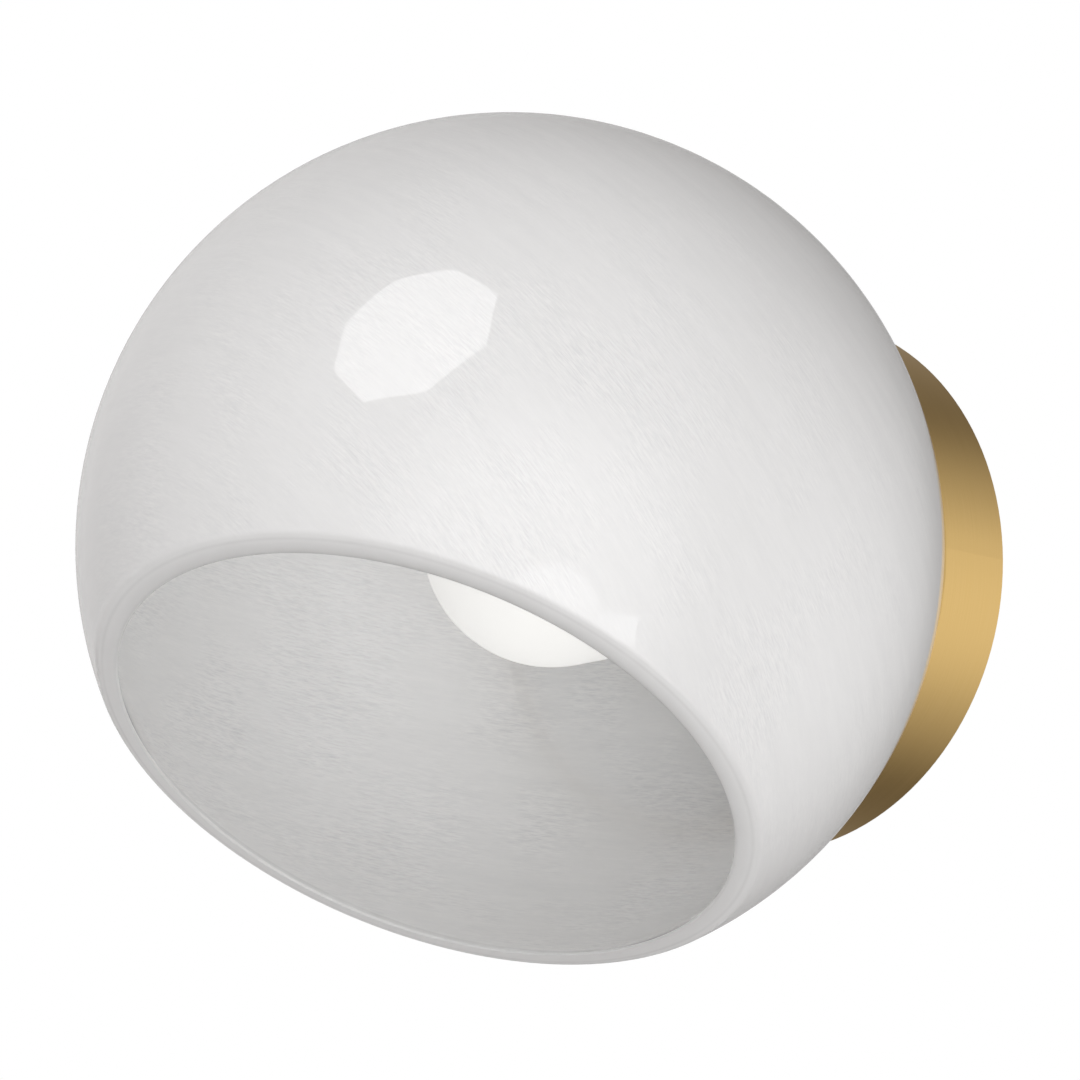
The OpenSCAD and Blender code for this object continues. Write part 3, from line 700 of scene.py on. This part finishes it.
# %% A finish with a grain
def grained(name, dark, light, grain_mm, smooth, rough, relief_mm, drawn=(1, 1, 1),
            **constants):
    """Tone, roughness and relief that follow one noise of a real size."""
    material, tree, shader = new_finish(name, **constants)
    place = put(tree, "ShaderNodeTexCoord").outputs["Object"]
    scaled = put(tree, "ShaderNodeMapping",
                 {"Vector": place, "Scale": [stretch / (grain_mm * MM) for stretch in drawn]})
    grain = put(tree, "ShaderNodeTexNoise",
                {"Vector": scaled.outputs[0], "Scale": 1.0, "Detail": 3.0}).outputs["Fac"]
    tone = put(tree, "ShaderNodeMix",
               {"Factor": grain, "A": linear(dark), "B": linear(light)}, data_type="RGBA")
    tree.links.new(tone.outputs["Result"], shader.inputs["Base Color"])
    shine = put(tree, "ShaderNodeMapRange", {"Value": grain, "To Min": smooth, "To Max": rough})
    tree.links.new(shine.outputs["Result"], shader.inputs["Roughness"])
    relief = put(tree, "ShaderNodeBump",
                 {"Height": grain, "Strength": 0.6, "Distance": relief_mm * MM})
    tree.links.new(relief.outputs[0], shader.inputs["Normal"])
    return material


def dress(nodes, material):
    """Gives nodes of the frame another finish and leaves their shapes alone."""
    for node in nodes:
        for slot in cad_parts[node].material_slots:
            slot.material = material
    print(", ".join(nodes), "wear", material.name)


print("ready to dress the parts")

# %% [markdown]
# The canopy is drawn from brass sheet and brushed to a satin as it spins, so its scratches run
# round the axis: the grain is 20 mm long round the canopy and a third of a millimetre wide
# along it. Real scratches are a tenth of that and would not show. A brushed metal is a mirror
# full of such scratches. It stays bright, and only blurs what it mirrors. The other metals are
# hidden in the canopy: pressed, turned or drawn, and zinc or nickel plated.

# %% Metals
brass = grained("brass_drawn_satin_lacquered", "dcb872", "e6c482", 20.0, 0.26, 0.40, 0.004,
                drawn=(1, 60, 1), Metallic=1.0)
zinc = grained("steel_pressed_zinc_plated", "a9acad", "c6c9c9", 1.2, 0.28, 0.44, 0.01,
               Metallic=1.0)
green_steel = grained("steel_turned_green_dyed", "1f5c33", "2f7d49", 0.8, 0.30, 0.45, 0.01,
                      Metallic=1.0)
copper = grained("copper_drawn_bare", "b8704e", "dc9a78", 4.0, 0.25, 0.42, 0.008,
                 drawn=(6, 6, 1), Metallic=1.0)
contact_brass = grained("brass_pressed_bright", "c9a45c", "e3c27f", 1.0, 0.22, 0.36, 0.006,
                        Metallic=1.0)
nickel = grained("brass_rolled_nickel_plated", "c0b9ac", "d8d2c6", 3.0, 0.20, 0.34, 0.006,
                 drawn=(1, 4, 1), Metallic=1.0)
dress(("canopy", "canopy_screws"), brass)
dress(("crossbar", "socket_bracket", "bracket_screws"), zinc)
dress(("ground_screw",), green_steel)
dress(("ground_wire",), copper)
dress(("socket_shell", "socket_contact", "terminal_screw_hot"), contact_brass)
dress(("terminal_screw_neutral", "bulb_foot_contact"), nickel)
rolled_base.data.materials.append(nickel)

# %% [markdown]
# The plastics differ more in their shine than in their grain. The lamp holder is moulded hard
# and glossy, wire insulation is drawn and half matt, and the gasket is a foam whose cells are
# cut open, so its relief is coarse.

# %% Plastics, foam and fibre
holder_white = grained("thermoset_moulded_white", "dedcd4", "e8e6df", 0.6, 0.22, 0.34, 0.004)
ring_white = grained("thermoset_moulded_cream", "e2dfd6", "ebe8e0", 0.5, 0.28, 0.40, 0.006)
orange = grained("plastic_moulded_orange", "c4531a", "d9682a", 0.5, 0.34, 0.48, 0.012)
black_cover = grained("plastic_drawn_black", "1b1b1c", "29292a", 1.5, 0.42, 0.58, 0.006)
white_cover = grained("plastic_drawn_white", "d6d6d2", "e4e4e1", 1.5, 0.42, 0.58, 0.006)
foam = grained("foam_cut_black", "161617", "303031", 0.4, 0.75, 0.95, 0.10)
fibre = grained("fibre_punched_buff", "b79f7c", "cfb997", 0.5, 0.70, 0.88, 0.02,
                drawn=(1, 3, 1))
base_glass = grained("glass_fused_black", "121214", "202024", 0.8, 0.10, 0.22, 0.004)
laminate = grained("laminate_pressed_green", "14402a", "1f5a3a", 0.5, 0.35, 0.50, 0.006)
dress(("socket_body",), holder_white)
dress(("shade_ring",), ring_white)
for nut in connectors:
    nut.data.materials.append(orange)
dress(("hot_lead",), black_cover)
dress(("neutral_lead",), white_cover)
dress(("seat_gasket",), foam)
dress(("ring_washer",), fibre)
dress(("bulb_base_insulator",), base_glass)
dress(("bulb_driver_board",), laminate)

# %% [markdown]
# The bulb is off, but its frosted cover takes in light all round and passes it on from inside.
# Following that light would need many bounces, so a faint painted glow in the cover's finish
# stands for it. The collar is satin white plastic without the glow. The board inside has a
# white solder mask. Its chips stand out towards the room, so whatever lies that far out is
# given their yellow.

# %% Frosted bulb with a painted glow
# Painted glow: an emission in the cover's finish stands for the light it passes on, though the
# bulb is not lit.
painted_bulb_glow = 0.38
frosted = grained("plastic_moulded_frosted_painted_glow", "f2f2ef", "f7f7f5", 0.4, 0.38, 0.50, 0.004,
                  Emission_Color=linear("fffefc"), Emission_Strength=painted_bulb_glow)
collar_white = grained("plastic_moulded_satin_white", "e9e8e3", "f1f0ec", 0.5, 0.36, 0.50, 0.005)
dress(("bulb_envelope",), frosted)
dress(("bulb_collar",), collar_white)

# %% Board with its chips
mask_grain_mm = 0.6
chip_depth = 0.7 * MM

solder_mask, tree, shader = new_finish("laminate_masked_white")
place = put(tree, "ShaderNodeTexCoord").outputs["Object"]
height = put(tree, "ShaderNodeSeparateXYZ", {"Vector": place}).outputs["Y"]
board_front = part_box("bulb_led_board")[0].y
chip_top = put(tree, "ShaderNodeMath", {0: height, 1: board_front + chip_depth},
               operation="LESS_THAN").outputs[0]
mask_grain = put(tree, "ShaderNodeTexNoise",
                 {"Vector": place, "Scale": 1 / (mask_grain_mm * MM),
                  "Detail": 2.0}).outputs["Fac"]
mask_tone = put(tree, "ShaderNodeMix",
                {"Factor": mask_grain, "A": linear("e2e2de"), "B": linear("efefec")},
                data_type="RGBA")
board_tone = put(tree, "ShaderNodeMix",
                 {"Factor": chip_top, "A": mask_tone.outputs["Result"], "B": linear("dcb52e")},
                 data_type="RGBA")
tree.links.new(board_tone.outputs["Result"], shader.inputs["Base Color"])
mask_shine = put(tree, "ShaderNodeMapRange", {"Value": mask_grain, "To Min": 0.3, "To Max": 0.45})
tree.links.new(mask_shine.outputs["Result"], shader.inputs["Roughness"])
dress(("bulb_led_board",), solder_mask)
